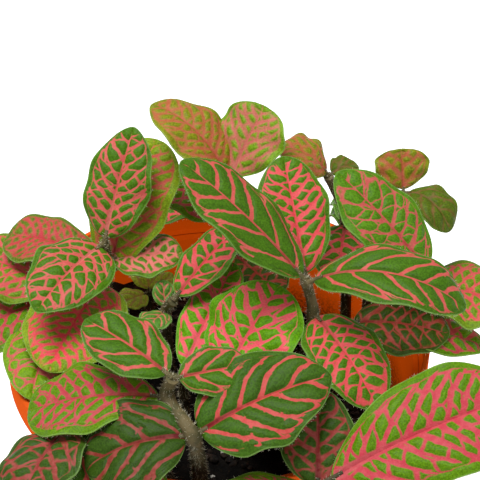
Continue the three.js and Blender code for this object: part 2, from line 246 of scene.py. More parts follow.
# Every shoot, as in its solid. A node is its place and its leaves, and a leaf is (turn, rise, length,
# width, bend, roll, widest, look).
SHOOTS = [
    {"solid": "shoot_left_back", "root": (-26, 6), "nodes": [
        ((-28, 7, 101), [
            (245.5, 5, 29.5, 26, 30, 0, 0.48, "pink"),
            (63, 57, 36, 22, 30, 0, 0.6, "flushed"),
        ]),
        ((-27.5, 9, 106), [
            (155.5, 8, 26.5, 16.5, 22, 10, 0.7, "rosy"),
            (358, 18, 17.5, 14.5, 22, -10, 0.5, "dense"),
        ]),
        ((-28, 8, 112), [
            (68, 55, 28, 17, 14, 0, 0.46, "mid"),
            (235, 10, 25.5, 20, 35, 8, 0.42, "mid"),
        ]),
    ]},
    {"solid": "shoot_left", "root": (-34, 4), "nodes": [
        ((-39.5, 8.5, 93.5), [
            (205, 10, 30, 20, 50, 0, 0.5, "light"),
            (261, 8, 32.5, 19.5, 26, 0, 0.5, "spring"),
        ]),
        ((-39, 6, 97), [
            (152, 22, 27, 21, 35, 10, 0.5, "hot"),
            (80, 6, 22.5, 15.5, 32, 0, 0.5, "netted"),
        ]),
    ]},
    {"solid": "shoot_centre", "root": (19, -11), "nodes": [
        ((19.6, -11.3, 81), [(281, 14, 23.5, 18, 22, 0, 0.5, "mid")]),
        ((23, -13, 108), [(301, 0, 28.5, 19, 35, 0, 0.45, "netted")]),
        ((21.3, -9.4, 115), [(102, 42, 29.5, 17.5, 12, 0, 0.52, "netted")]),
        ((21.4, -13.6, 118), [
            (152, 45, 39.5, 19.5, 20, 0, 0.52, "dark"),
            (347, 36, 39, 18.5, 78, -5, 0.52, "dark"),
        ]),
    ]},
    {"solid": "shoot_front", "root": (-4, -38), "stout": 1.25, "nodes": [
        ((-5.2, -49, 102), [
            (185, 6.5, 25.5, 24.5, 53, 15, 0.48, "shaded"),
            (18, 30, 33, 25, 30, -18, 0.43, "deep_painted_shade"),
        ]),
        ((-11.5, -37.5, 103.5), [(174, 2, 32.5, 22, 32, 5, 0.62, "light")]),
        ((-10, -38.5, 110.5), [
            (142, 17, 25, 16, 20, 10, 0.5, "dark"),
            (11, 4, 16.5, 12.5, 0, -22, 0.5, "dark"),
        ]),
    ]},
    {"solid": "shoot_front_centre", "root": (4, -24), "nodes": [
        ((2.6, -25, 86.5), [(339.5, 22, 21.5, 15.5, 45, 0, 0.5, "netted")]),
        ((2.2, -25.3, 90), [
            (92.5, 0, 26, 18, 41, 0, 0.5, "mid"),
            (331, 28, 27, 21, 27.5, 0, 0.5, "light"),
        ]),
        ((1.2, -26, 97.5), [(53.5, 39, 25.5, 25, 15, 0, 0.55, "bright")]),
    ]},
    {"solid": "shoot_mid_left", "root": (-8, -16), "nodes": [
        ((-8.5, -20.5, 95), [(64.5, 28, 30, 13.5, 10, 0, 0.5, "bright")]),
    ]},
    {"solid": "shoot_mid", "root": (-12, -6), "nodes": [
        ((-12.7, -3.2, 100), [
            (100, 45, 6.5, 5.5, 10, 0, 0.5, "sprig"),
            (243, 20, 9, 8, 20, 0, 0.5, "sprig"),
        ]),
        ((-10.8, -5.2, 105), [(46.5, 30, 23.5, 12.5, 14, 0, 0.5, "netted")]),
    ]},
    {"solid": "shoot_front_right", "root": (19, -34), "bends": [(20, -41, 86), (21, -47, 93)], "nodes": [
        ((23.3, -57.5, 93), [
            (89.5, 42, 22.5, 17.5, 12, 0, 0.45, "dim_painted_shade"),
            (190, 3, 29, 17, 18, 0, 0.5, "light"),
        ]),
        ((24.5, -57, 95), [
            (14, 30, 46, 27.5, 20, -22, 0.62, "broad"),
            (300, 2, 30, 22, 45, 0, 0.5, "light"),
        ]),
    ]},
    {"solid": "shoot_right", "root": (40.2, 12.8), "nodes": [
        ((48.2, 6.4, 99.3), [
            (352, 6.5, 26.5, 22, 30, -5, 0.5, "hot"),
            (112, 6, 17, 14, 33.5, 0, 0.5, "light"),
        ]),
        ((51.6, -2.9, 111), [(142, 42, 32, 18.5, 20, 12, 0.48, "open")]),
    ]},
    {"solid": "shoot_right_mid", "root": (29, 2), "nodes": [
        ((32, -2, 95), [
            (350, 14, 24, 19, 30, -10, 0.5, "dusky_painted_shade"),
            (355, 6, 34, 16, 32, 0, 0.5, "light"),
        ]),
    ]},
    {"solid": "shoot_back", "root": (2, 16), "nodes": [
        ((2.5, 20.1, 90.5), [(272, 15, 25, 19, 27, 0, 0.5, "netted")]),
        ((2.8, 22.2, 98), [(306, 6, 20, 15, 10, 0, 0.5, "dusky_painted_shade")]),
        ((2.9, 23.4, 103), [(52, 4, 25.5, 19, 29, 0, 0.5, "mid")]),
        ((3, 24, 106), [(138, 26, 20, 19, 20, 0, 0.5, "light")]),
        ((2.8, 16.3, 125), [
            (143.5, 64, 27.5, 17, 74, 0, 0.45, "backlit"),
            (48, 55, 19, 20, 10, 0, 0.6, "pale"),
            (87, 1, 27, 20.5, 47, 0, 0.5, "netted"),
        ]),
    ]},
    {"solid": "shoot_back_right", "root": (33.5, 25), "nodes": [
        ((32.5, 26.5, 104), [(262, 5, 19, 15, 35, 0, 0.5, "netted")]),
        ((27.5, 22.5, 122), [
            (166, 60, 14, 16, 70, -4, 0.5, "backlit"),
            (25, 30, 7, 9, 50, 0, 0.5, "olive"),
        ]),
    ]},
    {"solid": "shoot_young", "root": (-18, 13), "nodes": [
        ((-17.7, 14.5, 90.5), [
            (219, 15, 8, 8.5, 20, 0, 0.5, "young"),
            (95, 30, 7, 8.5, 10, 0, 0.5, "young"),
            (30, 30, 6.5, 6, 10, 0, 0.5, "young"),
        ]),
    ]},
    {"solid": "shoot_front_left", "root": (-27, -28), "nodes": [
        ((-30.8, -32.8, 85), [(61.5, 2.5, 24.5, 17.5, 21, 0, 0.5, "netted")]),
        ((-34.8, -37.8, 94), [
            (246.5, 19, 26.5, 20, 56, -14, 0.45, "dim_painted_shade"),
            (290, 4, 21, 16, 45, 0, 0.5, "deep_painted_shade"),
        ]),
    ]},
    {"solid": "shoot_front_low", "root": (-11, -38), "nodes": [
        ((-15, -48, 92.5), [(260, 6, 27, 16, 50, 0, 0.5, "light")]),
    ]},
    {"solid": "shoot_rear_left", "root": (-15, 30), "nodes": [
        ((-18.3, 35, 91.8), [(199.5, 9.5, 18.5, 14, 39, 0, 0.5, "light")]),
        ((-19, 36, 95), [
            (112, 8, 26, 19, 55, 0, 0.5, "mid"),
            (54, 12, 22, 16, 50, 0, 0.5, "netted"),
        ]),
    ]},
    {"solid": "shoot_rear", "root": (10, 32), "nodes": [
        ((11, 38, 95), [
            (95, 2, 25, 20, 58, 0, 0.5, "dark"),
            (150, 14, 16, 13, 25, 0, 0.5, "netted"),
            (336.5, 19, 18, 14, 42.5, 0, 0.5, "light"),
        ]),
    ]},
    {"solid": "shoot_rear_right", "root": (38, 19), "nodes": [
        ((39.7, 26.4, 91.5), [(301, 18, 17, 13, 36, 0, 0.5, "light")]),
        ((40, 28, 96), [
            (95, 8, 25, 19, 55, 0, 0.5, "mid"),
            (55, 4, 20, 16, 50, 0, 0.5, "netted"),
        ]),
        ((41, 27.4, 98.8), [(98.5, 8, 25.5, 19, 46, 0, 0.5, "mid")]),
        ((46.7, 24.2, 115), [
            (313.5, 40, 17.5, 12, 110, 0, 0.5, "olive"),
            (96, 54, 10, 14, 5, 0, 0.62, "backlit"),
        ]),
    ]},
]


def srgb(red, green, blue):
    """A screen colour in 0 to 255 as the linear colour that a shader takes."""
    steps = [value / 255 for value in (red, green, blue)]
    linear = [v / 12.92 if v <= 0.04045 else ((v + 0.055) / 1.055) ** 2.4 for v in steps]
    return (*linear, 1)


# The looks of the leaves. green and shade are the two greens between the veins, and foot is the colour
# of the midrib's foot. widths are those of the midrib, the side veins and the net, cell is the size of
# the net's cells and spacing the distance of the side veins along the midrib, all in millimetres. reach
# is how far the net runs out from the side veins, loops how many of these are joined at their ends, and
# soft how blurred their edges are.
def look(green, shade, vein, foot, widths, cell, spacing, reach, loops, soft):
    return dict(
        green=srgb(*green), shade=srgb(*shade), vein=srgb(*vein), foot=srgb(*foot), widths=widths,
        cell=cell, spacing=spacing, reach=reach, loops=loops, soft=soft,
    )


LOOKS = {
    "dark": look(
        (68, 108, 14), (56, 94, 12), (198, 84, 76), (150, 60, 50),
        (1.1, 0.68, 0.28), 3.0, 6.2, 0.6, 0.9, 0.12,
    ),
    # Partly painted shade: darker than the dark look for low leaves under others, with a dark red rib foot
    "deep_painted_shade": look(
        (60, 96, 16), (48, 78, 10), (190, 70, 64), (112, 30, 32),
        (1.5, 0.88, 0.34), 3.4, 6.6, 0.9, 0.9, 0.1,
    ),
    # Painted shade: dark greens and veins for low leaves in the shade of others
    "dim_painted_shade": look(
        (54, 84, 18), (42, 68, 10), (140, 54, 46), (92, 28, 28),
        (1.52, 0.75, 0.38), 2.72, 4.32, 9.0, 0.5, 0.2,
    ),
    "shaded": look(
        (50, 78, 14), (40, 64, 8), (124, 50, 38), (84, 24, 26),
        (1.6, 0.95, 0.34), 3.4, 5.8, 1.0, 0.7, 0.14,
    ),
    "spring": look(
        (112, 150, 14), (98, 138, 10), (200, 84, 82), (170, 60, 50),
        (1.42, 0.67, 0.29), 3.91, 5.92, 9.0, 0.3, 0.16,
    ),
    "mid": look(
        (72, 114, 12), (60, 102, 8), (200, 88, 80), (200, 118, 104),
        (1.14, 0.59, 0.31), 2.46, 3.68, 9.0, 0.4, 0.12,
    ),
    "netted": look(
        (76, 118, 12), (60, 102, 8), (216, 76, 80), (176, 72, 66),
        (1.23, 0.76, 0.43), 2.55, 3.84, 9.0, 0.3, 0.12,
    ),
    "open": look(
        (82, 128, 16), (66, 112, 12), (186, 84, 76), (160, 58, 56),
        (1.04, 0.51, 0.26), 2.89, 4.32, 9.0, 0.4, 0.12,
    ),
    "dense": look(
        (84, 122, 18), (66, 106, 14), (210, 112, 100), (222, 156, 140),
        (1.33, 0.71, 0.5), 1.95, 2.88, 9.0, 0.3, 0.18,
    ),
    "bright": look(
        (98, 156, 10), (82, 138, 6), (238, 88, 100), (224, 106, 110),
        (1.42, 0.85, 0.5), 3.31, 4.32, 9.0, 0.3, 0.14,
    ),
    "light": look(
        (92, 132, 4), (78, 116, 2), (180, 62, 70), (160, 70, 48),
        (1.42, 0.83, 0.47), 3.06, 4.16, 9.0, 0.3, 0.16,
    ),
    "broad": look(
        (90, 132, 4), (76, 116, 2), (192, 60, 74), (190, 82, 88),
        (2.47, 1.19, 0.62), 3.91, 4.48, 9.0, 0.3, 0.18,
    ),
    "hot": look(
        (108, 138, 22), (90, 122, 16), (208, 80, 80), (176, 56, 60),
        (1.33, 0.71, 0.48), 2.46, 3.68, 9.0, 0.2, 0.2,
    ),
    "pink": look(
        (124, 150, 28), (104, 132, 20), (230, 66, 80), (196, 56, 66),
        (1.33, 0.73, 0.57), 2.72, 2.88, 9.0, 0.2, 0.26,
    ),
    "rosy": look(
        (94, 118, 26), (80, 104, 18), (190, 56, 64), (160, 46, 54),
        (1.33, 0.75, 0.57), 1.95, 2.56, 9.0, 0.2, 0.4,
    ),
    "flushed": look(
        (130, 156, 24), (108, 136, 18), (206, 80, 70), (180, 62, 58),
        (1.33, 0.71, 0.45), 2.55, 3.84, 9.0, 0.2, 0.3,
    ),
    # Painted shade: a darker copy of the netted look, for leaves in the shadow of others
    "dusky_painted_shade": look(
        (58, 82, 10), (46, 66, 6), (156, 56, 42), (120, 40, 30),
        (1.14, 0.63, 0.34), 2.55, 3.84, 9.0, 0.3, 0.2,
    ),
    "backlit": look(
        (124, 130, 16), (106, 122, 12), (176, 88, 58), (176, 88, 62),
        (1.33, 0.62, 0.44), 2.29, 3.04, 9.0, 0.2, 0.4,
    ),
    "pale": look(
        (112, 146, 22), (92, 132, 10), (188, 104, 90), (194, 116, 102),
        (1.71, 0.82, 0.54), 2.38, 3.04, 9.0, 0.2, 0.36,
    ),
    "olive": look(
        (84, 104, 16), (66, 88, 12), (92, 84, 26), (88, 80, 26),
        (0.9, 0.4, 0.2), 2.6, 5.0, 1.0, 0.1, 0.3,
    ),
    # Young leaves are paler, and these greens are lightened further as painted light for their shaded place
    "young": look(
        (220, 236, 84), (196, 216, 66), (222, 170, 100), (222, 166, 100),
        (0.7, 0.4, 0.2), 2.0, 3.0, 0.3, 0.5, 0.4,
    ),
    "sprig": look(
        (84, 132, 46), (68, 116, 34), (196, 112, 90), (186, 100, 82),
        (0.45, 0.26, 0.14), 1.6, 2.4, 0.3, 0.4, 0.12,
    ),
}


class Wiring:
    """Adds and links the nodes of one node tree."""

    def __init__(self, tree):
        self.tree = tree

    def node(self, kind, **settings):
        made = self.tree.nodes.new(kind)
        for name, value in settings.items():
            setattr(made, name, value)
        return made

    def put(self, value, socket):
        if isinstance(value, bpy.types.NodeSocket):
            self.tree.links.new(value, socket)
        else:
            socket.default_value = value

    def math(self, operation, *values):
        made = self.node("ShaderNodeMath", operation=operation)
        for value, socket in zip(values, made.inputs):
            self.put(value, socket)
        return made.outputs[0]

    def plus(self, first, second):
        return self.math("ADD", first, second)

    def minus(self, first, second):
        return self.math("SUBTRACT", first, second)

    def times(self, first, second):
        return self.math("MULTIPLY", first, second)

    def ramp(self, value, low, high, start=0.0, end=1.0):
        made = self.node("ShaderNodeMapRange", interpolation_type="SMOOTHSTEP")
        for given, socket in zip((value, low, high, start, end), made.inputs):
            self.put(given, socket)
        return made.outputs[0]

    def mix(self, share, first, second):
        made = self.node("ShaderNodeMix", data_type="RGBA")
        self.put(share, made.inputs[0])
        self.put(first, made.inputs[6])
        self.put(second, made.inputs[7])
        return made.outputs[2]

    def place(self):
        """Object coordinates in millimetres."""
        place = self.node("ShaderNodeTexCoord").outputs["Object"]
        scaled = self.node("ShaderNodeVectorMath", operation="SCALE")
        self.put(place, scaled.inputs[0])
        scaled.inputs["Scale"].default_value = 1 / MM
        return scaled.outputs[0]

    def noise(self, place, scale, detail):
        made = self.node("ShaderNodeTexNoise")
        self.put(place, made.inputs["Vector"])
        self.put(scale, made.inputs["Scale"])
        made.inputs["Detail"].default_value = detail
        return made.outputs

    def chance(self, seed):
        made = self.node("ShaderNodeTexWhiteNoise", noise_dimensions="1D")
        self.put(seed, made.inputs["W"])
        return made.outputs["Value"]

    def split(self, vector):
        made = self.node("ShaderNodeSeparateXYZ")
        self.put(vector, made.inputs[0])
        return made.outputs

    def bump(self, height, depth):
        """A relief with the given depth in millimetres."""
        made = self.node("ShaderNodeBump")
        made.inputs["Strength"].default_value = 1.0
        made.inputs["Distance"].default_value = depth * MM
        self.put(height, made.inputs["Height"])
        return made.outputs[0]

    def group(self, tree, **values):
        made = self.node("ShaderNodeGroup", node_tree=tree)
        for name, value in values.items():
            self.put(value, made.inputs[name.replace("_", " ").title()])
        return made.outputs


def new_group(name, inputs, outputs):
    """An empty node group between named numbers, its wiring, and the sockets of its two ends."""
    tree = bpy.data.node_groups.new(name, "ShaderNodeTree")
    for way, labels in (("INPUT", inputs), ("OUTPUT", outputs)):
        for label in labels:
            tree.interface.new_socket(name=label, in_out=way, socket_type="NodeSocketFloat")
    wiring = Wiring(tree)
    return tree, wiring, wiring.node("NodeGroupInput").outputs, wiring.node("NodeGroupOutput").inputs


def make_vein_group():
    """The veins of a blade, from its own vein map: midrib, side veins, their loops and the fine net.

    Each of them is a distance from its edge in millimetres, which is below 0 within the vein.
    """
    tree, w, given, out = new_group(
        "leaf_veins",
        ("Rib Width", "Vein Width", "Net Width", "Net Reach", "Net Chance", "Cell Size", "Loops", "Softness"),
        ("Vein", "Foot", "Dome", "Edge", "Tone"),
    )
    place = w.place()
    veins = w.split(w.node("ShaderNodeUVMap", uv_map="Veins").outputs[0])
    size = w.node("ShaderNodeAttribute", attribute_name="leaf_size").outputs["Vector"]
    spacing, half, along = w.split(size)
    bend = w.split(w.noise(place, *BROAD_WAVER)["Color"])
    fine = w.split(w.noise(place, *FINE_WAVER)["Color"])
    waver = w.plus(w.minus(bend[0], 0.5), w.times(w.minus(fine[0], 0.5), FINE_SHARE))
    row = w.plus(veins[0], w.math("DIVIDE", w.times(waver, ROW_WAVER), spacing))
    out_to = w.plus(veins[1], w.times(w.minus(bend[1], 0.5), OUT_WAVER))
    lateral = w.times(veins[1], half)

    # Midrib
    rib = w.times(w.minus(1.0, w.times(along, RIB_TAPER)), given["Rib Width"])
    rib = w.minus(lateral, w.times(rib, 0.5))

    # Side veins, which end a little before the margin
    near = w.math("PINGPONG", row, 0.5)
    chance = w.chance(w.math("FLOOR", w.plus(row, 0.5)))
    reach = w.plus(SIDE_REACH, w.times(chance, SIDE_REACH_SPREAD))
    beyond = w.times(w.math("MAXIMUM", w.minus(out_to, reach), 0.0), half)
    across = w.times(near, spacing)
    side = w.math("SQRT", w.plus(w.math("POWER", across, 2.0), w.math("POWER", beyond, 2.0)))
    taper = w.minus(SIDE_WIDTH, w.times(veins[1], SIDE_TAPER))
    taper = w.times(taper, w.plus(SIDE_LEAST, w.times(chance, SIDE_SPREAD)))
    side = w.minus(side, w.times(given["Vein Width"], taper))

    # Loops that join the ends of two side veins
    tile = w.chance(w.plus(w.math("FLOOR", row), LOOP_SEED))
    span = w.math("POWER", w.minus(1.0, w.times(near, 2.0)), 2.0)
    crest = w.minus(LOOP_CREST, w.times(span, LOOP_DIP))
    loop = w.times(w.math("ABSOLUTE", w.minus(out_to, crest)), half)
    loop = w.minus(w.times(loop, LOOP_LEAN), w.times(given["Vein Width"], LOOP_WIDTH))
    absent = w.math("GREATER_THAN", tile, given["Loops"])
    absent = w.math("MAXIMUM", absent, w.math("LESS_THAN", along, LOOP_START))
    loop = w.plus(loop, w.times(absent, FAR_OFF))

    # Net: its rungs stand square to the side veins, its cells are shifted from row to row and rounded
    # off, and a broken line closes it along the margin
    grid = w.node("ShaderNodeCombineXYZ")
    centred = w.minus(w.times(given["Net Chance"], 0.5), 0.5)
    w.put(w.plus(row, centred), grid.inputs[0])
    outward = w.plus(w.times(lateral, RUNG_STRETCH), w.times(w.math("FRACT", row), spacing))
    outward = w.math("DIVIDE", outward, given["Cell Size"])
    w.put(w.plus(outward, w.times(tile, NET_SHIFT)), grid.inputs[1])
    distances = []
    for feature in ("DISTANCE_TO_EDGE", "F1"):
        cells = w.node("ShaderNodeTexVoronoi", voronoi_dimensions="2D", feature=feature)
        cells.inputs["Scale"].default_value = 1.0
        w.put(given["Net Chance"], cells.inputs["Randomness"])
        w.put(grid.outputs[0], cells.inputs["Vector"])
        distances.append(cells.outputs["Distance"])
    to_edge, to_middle = distances
    net = w.minus(w.times(to_edge, given["Cell Size"]), w.times(given["Net Width"], 0.5))
    corner = w.times(w.minus(CELL_REACH, to_middle), given["Cell Size"])
    net = w.math("SMOOTH_MIN", net, corner, CELL_ROUND)
    outside = w.times(w.minus(out_to, NET_END), half)
    closing = w.times(given["Net Width"], w.ramp(bend[2], *CLOSING_SPAN))
    closing = w.minus(w.math("ABSOLUTE", outside), closing)
    net = w.math("SMOOTH_MIN", net, closing, CLOSING_ROUND)
    net = w.math("MAXIMUM", net, outside)
    stub = w.minus(across, w.times(given["Net Reach"], w.ramp(bend[2], *STUB_SPAN)))
    net = w.math("MAXIMUM", net, stub)

    whole = w.math("SMOOTH_MIN", rib, side, SIDE_ROUND)
    whole = w.math("SMOOTH_MIN", whole, loop, LOOP_ROUND)
    whole = w.math("SMOOTH_MIN", whole, net, NET_ROUND)
    whole = w.plus(whole, w.ramp(along, *TIP_SPAN))
    margin = w.times(w.minus(1.0, veins[1]), half)
    low = w.times(given["Softness"], -1.0)
    vein = w.ramp(whole, low, given["Softness"], 1.0, 0.0)
    w.put(w.times(vein, w.ramp(margin, *BARE_MARGIN_SPAN)), out["Vein"])
    w.put(w.times(w.ramp(rib, *FOOT_SPAN), w.ramp(along, *FOOT_LENGTH_SPAN)), out["Foot"])
    w.put(w.ramp(whole, *DOME_SPAN), out["Dome"])
    w.put(w.ramp(margin, *EDGE_SPAN), out["Edge"])
    w.put(w.ramp(w.noise(place, 0.35, 3.0)[0], *TONE_SPAN), out["Tone"])
    return tree


def make_grain_group():
    """Even grain for a height and its specks, and broad patches for a change of tone."""
    tree, w, given, out = new_group("fine_grain", ("Patch", "Grain"), ("Height", "Tone", "Speck"))
    place = w.place()
    patches = w.noise(place, given["Patch"], 4.0)[0]
    grain = w.noise(place, given["Grain"], 3.0)[0]
    w.put(grain, out["Height"])
    w.put(w.ramp(patches, *PATCH_SPAN), out["Tone"])
    w.put(w.ramp(grain, *SPECK_SPAN), out["Speck"])
    return tree


VEINS = make_vein_group()
GRAIN = make_grain_group()


def new_material(name):
    """A material with its wiring and its shader's sockets."""
    material = bpy.data.materials.new(name)
    material.use_nodes = True
    shader = next(node for node in material.node_tree.nodes if node.type == "BSDF_PRINCIPLED")
    return material, Wiring(material.node_tree), shader.inputs


def grainy_material(name, patch, scale, tones, roughness, speck=None, specular=None, relief=None):
    """A material in two tones, whose specks, dullness and relief follow its grain."""
    material, w, shader = new_material(name)
    grain = w.group(GRAIN, patch=patch, grain=scale)
    colour = w.mix(grain["Tone"], *(srgb(*tone) for tone in tones))
    if speck:
        share, tint = speck
        colour = w.mix(w.times(grain["Speck"], share), colour, srgb(*tint))
    w.put(colour, shader["Base Color"])
    even = isinstance(roughness, float)
    w.put(roughness if even else w.ramp(grain["Height"], *GRAIN_SPAN, *roughness), shader["Roughness"])
    if specular is not None:
        shader["Specular IOR Level"].default_value = specular
    if relief:
        w.put(w.bump(grain["Height"], relief), shader["Normal"])
    return material


def leaf_material(name, finish, underside=False):
    """The upper face of a blade, or its paler and duller underside."""
    material, w, shader = new_material(name)
    rib_width, vein_width, net_width = finish["widths"]
    parts = w.group(
        VEINS, rib_width=rib_width, vein_width=vein_width, net_width=net_width, net_reach=finish["reach"],
        net_chance=NET_CHANCES[finish["reach"] > LONG_REACH], cell_size=finish["cell"],
        loops=finish["loops"], softness=finish["soft"],
    )
    grain = w.group(GRAIN, patch=0.6, grain=2.4)
    # Painted light and shade: paler greens on the relief's tops, darker greens and veins in its hollows
    pebbles = w.ramp(grain["Height"], *GRAIN_SPAN)
    dark, pale = [(*(channel * part for channel in finish["green"][:3]), 1) for part in GREEN_SPREAD]
    green = w.mix(parts["Tone"], finish["shade"], finish["green"])
    green = w.mix(PEBBLE_LIGHT_AND_SHADE, green, w.mix(pebbles, dark, pale))
    vein = w.mix(parts["Foot"], finish["vein"], finish["foot"])
    vein = w.mix(w.times(grain["Tone"], VEIN_BLOOM), vein, srgb(244, 150, 140))
    vein = w.mix(w.times(w.minus(1.0, pebbles), VEIN_PIT_SHADE), vein, srgb(160, 30, 44))
    colour = w.mix(parts["Vein"], green, vein)
    # Painted highlight: a pale line along the margins, for the light that catches the blade's edges
    colour = w.mix(w.times(parts["Edge"], EDGE_HIGHLIGHT), colour, srgb(150, 186, 104))
    if underside:
        colour = w.mix(BACK_PALENESS, colour, srgb(150, 178, 112))
    w.put(colour, shader["Base Color"])
    roughness = (0.62, 0.74) if underside else (0.42, 0.56)
    w.put(w.ramp(grain["Height"], *GRAIN_SPAN, *roughness), shader["Roughness"])
    shader["Specular IOR Level"].default_value = 0.1 if underside else 0.14
    height = w.plus(parts["Dome"], w.times(grain["Height"], LEAF_GRAIN))
    w.put(w.bump(height, LEAF_RELIEF), shader["Normal"])
    return material


def stem_material():
    """Brown-green stems in patches of two tones, darker towards the soil."""
    material, w, shader = new_material("stem_skin")
    grain = w.group(GRAIN, patch=0.35, grain=2.6)
    colour = w.mix(grain["Tone"], srgb(76, 73, 36), srgb(108, 94, 58))
    colour = w.mix(w.times(grain["Speck"], 0.5), colour, srgb(150, 138, 96))
    shaded = w.mix(grain["Tone"], srgb(50, 48, 22), srgb(74, 66, 36))
    colour = w.mix(w.ramp(w.split(w.place())[2], *STEM_SHADE_SPAN), colour, shaded)
    w.put(colour, shader["Base Color"])
    w.put(w.ramp(grain["Height"], *GRAIN_SPAN, 0.6, 0.8), shader["Roughness"])
    w.put(w.bump(grain["Height"], 0.2), shader["Normal"])
    return material


def pot_material():
    """Moulded orange plastic in faint clouds, with a soft sheen outside.

    The inner wall has soil dust low down, and a faint painted glow for the daylight that comes through it.
    """
    material, w, shader = new_material("orange_plastic")
    grain = w.group(GRAIN, patch=0.03, grain=1.6)
    x, y, z = w.split(w.place())
    radius = w.math("SQRT", w.plus(w.math("POWER", x, 2.0), w.math("POWER", y, 2.0)))

    # What lies nearer to the axis than the middle of the wall is inside
    middle = w.plus(w.times(z, WALL_SLOPE), BASE_RADIUS - WALL / 2)
    middle = w.plus(middle, w.times(w.math("GREATER_THAN", z, BAND - 0.5), 0.5))
    band_middle = w.times(w.math("GREATER_THAN", z, BAND + 0.1), RIM_RADIUS - WALL / 2)
    inside = w.ramp(w.minus(w.math("MAXIMUM", middle, band_middle), radius), -0.1, 0.1)

    dusty = w.times(w.times(inside, w.ramp(z, *DUST_SPAN)), w.ramp(grain["Height"], *DUST_GRAIN_SPAN))
    dusty = w.times(dusty, DUST_SHARE)
    colour = w.mix(grain["Tone"], srgb(210, 82, 24), srgb(216, 87, 28))
    colour = w.mix(w.times(grain["Speck"], 0.1), colour, srgb(240, 160, 110))
    w.put(w.mix(dusty, colour, srgb(58, 34, 22)), shader["Base Color"])
    w.put(w.mix(dusty, srgb(222, 84, 4), srgb(60, 22, 4)), shader["Emission Color"])
    # Painted light: the inner wall glows more higher up and at the back, and its front is left in shade
    glow = w.times(w.times(inside, w.ramp(z, *GLOW_SPAN)), w.ramp(y, *GLOW_DEPTH_SPAN))
    w.put(w.times(glow, WALL_GLOW), shader["Emission Strength"])
    shader["Specular IOR Level"].default_value = 0.0
    outside = w.times(w.minus(1.0, inside), w.ramp(z, *SHEEN_SPAN))
    w.put(w.times(outside, SHEEN), shader["Coat Weight"])
    shader["Coat Roughness"].default_value = 0.3
    w.put(w.ramp(grain["Height"], *GRAIN_SPAN, 0.4, 0.52), shader["Roughness"])
    w.put(w.bump(grain["Height"], 0.06), shader["Normal"])
    return material


def deselect():
    if bpy.context.object and bpy.context.object.mode != "OBJECT":
        bpy.ops.object.mode_set(mode="OBJECT")
    bpy.ops.object.select_all(action="DESELECT")


def select(*objects):
    deselect()
    for one in objects:
        one.select_set(True)
    bpy.context.view_layer.objects.active = objects[0]


def edit(piece):
    select(piece)
    bpy.ops.object.mode_set(mode="EDIT")
    bpy.ops.mesh.select_all(action="SELECT")


def smooth(piece, degrees):
    select(piece)
    bpy.ops.object.shade_smooth_by_angle(angle=math.radians(degrees))


def apply_modifier(piece, kind, **settings):
    modifier = piece.modifiers.new(kind.title(), kind)
    for name, value in settings.items():
        setattr(modifier, name, value)
    select(piece)
    bpy.ops.object.modifier_apply(modifier=modifier.name)


def join(name, pieces):
    """Joins the objects into the first one and names it."""
    select(*pieces)
    if len(pieces) > 1:
        bpy.ops.object.join()
    piece = pieces[0]
    piece.name = name
    piece.data.name = name
    return piece


def add_object(name, data):
    made = bpy.data.objects.new(name, data)
    bpy.context.collection.objects.link(made)
    return made


def mesh_object(name, points, faces, material):
    mesh = bpy.data.meshes.new(name)
    mesh.from_pydata(points, [], faces)
    mesh.materials.append(material)
    return add_object(name, mesh)


def keep(piece, nodes):
    """Rides the piece on the plant, and hides the solids that it stands for."""
    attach(piece, "root")
    if nodes:
        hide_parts(*nodes)


# Leaves


def leaf_axes(leaf, s):
    """Forward, side and up vectors at the shares s of the way along a leaf, one row for each."""
    turn, rise, _, _, bend, roll = leaf[:6]
    heading, lean = math.radians(turn), math.radians(roll)
    slope = np.radians(rise - bend * s)
    ahead = np.array((math.cos(heading), math.sin(heading), 0))
    level = np.array((math.sin(heading), -math.cos(heading), 0))
    forward = np.outer(np.cos(slope), ahead) + np.outer(np.sin(slope), (0, 0, 1))
    raised = np.cross(np.broadcast_to(level, forward.shape), forward)
    side = level * math.cos(lean) + raised * math.sin(lean)
    up = raised * math.cos(lean) - level * math.sin(lean)
    return forward, side, up


def midrib(node, leaf):
    """The shares along the blade and the places of its midrib, from the base to the tip."""
    length = leaf[2]
    start = STALK_LENGTH + STALK_PER_LENGTH * length
    base = np.array(node) + leaf_axes(leaf, np.zeros(1))[0][0] * start
    middles = (np.arange(RIB_STEPS) + 0.5) / RIB_STEPS
    steps = leaf_axes(leaf, middles)[0] * length / RIB_STEPS
    places = np.vstack([base, base + np.cumsum(steps, axis=0)])
    return np.linspace(0, 1, RIB_STEPS + 1), places


def half_width(leaf, s):
    width, widest = leaf[3], leaf[6]
    a, b = OUTLINE * widest, OUTLINE * (1 - widest)
    most = widest**a * (1 - widest) ** b
    return np.maximum(BLADE_POINT, width / 2 * s**a * (1 - s) ** b / most)


